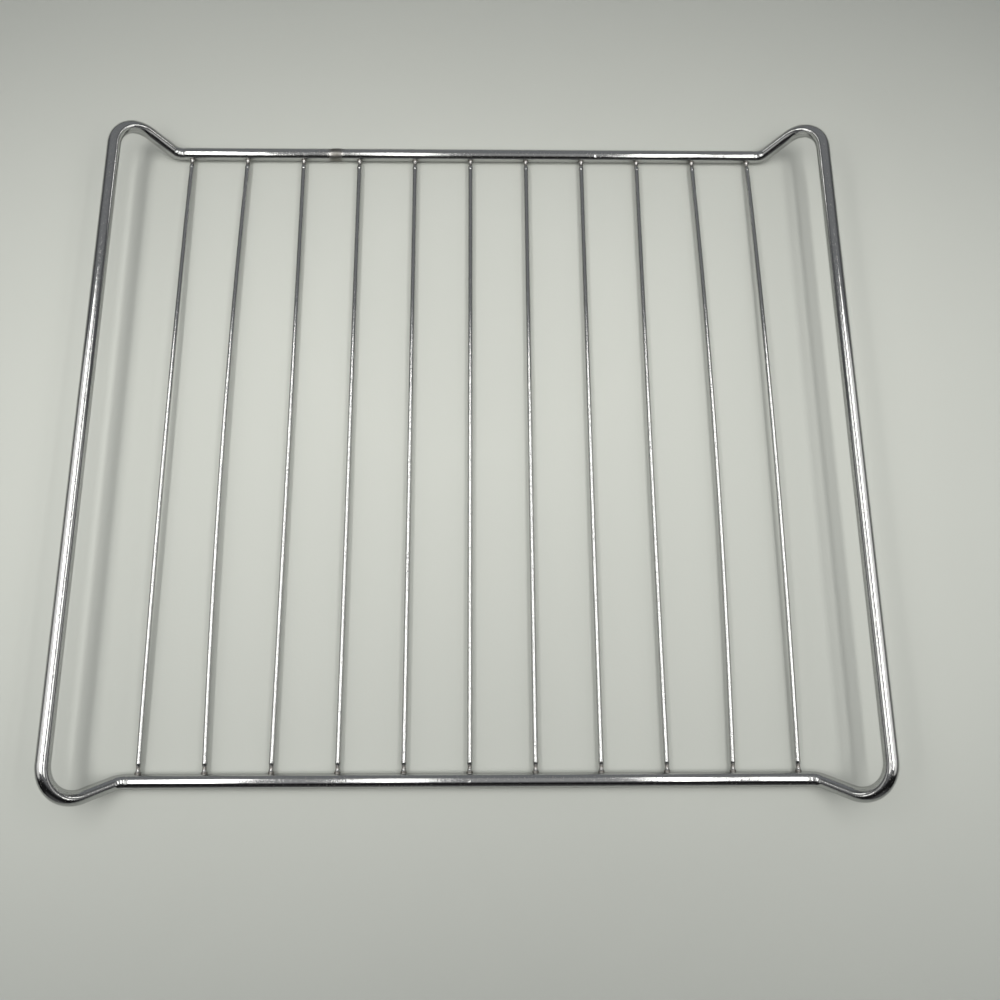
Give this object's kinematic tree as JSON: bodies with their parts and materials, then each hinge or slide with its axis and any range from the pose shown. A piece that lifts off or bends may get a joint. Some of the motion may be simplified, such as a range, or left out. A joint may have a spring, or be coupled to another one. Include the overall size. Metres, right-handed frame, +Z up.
{
  "type": "oven shelf rack",
  "caption": "Chrome-plated wire oven shelf: a frame wire bent into low front and back bars and raised side rails, with thin parallel rungs welded between the bars.",
  "frame": {"origin": "under the middle of the rack, on the surface that the front and back bars lie on", "axes": "+X along the bars from the left rail to the right rail, +Y from the front bar to the back bar, +Z up"},
  "size_m": [0.3124, 0.2824, 0.0281],
  "materials": {
    "chrome_wire": "bright plated, lightly worn"
  },
  "bodies": {
    "root": {"frame": "chrome_wire", "rung_01": "chrome_wire", "rung_02": "chrome_wire", "rung_03": "chrome_wire", "rung_04": "chrome_wire", "rung_05": "chrome_wire", "rung_06": "chrome_wire", "rung_07": "chrome_wire", "rung_08": "chrome_wire", "rung_09": "chrome_wire", "rung_10": "chrome_wire", "rung_11": "chrome_wire"}
  },
  "joints": []
}
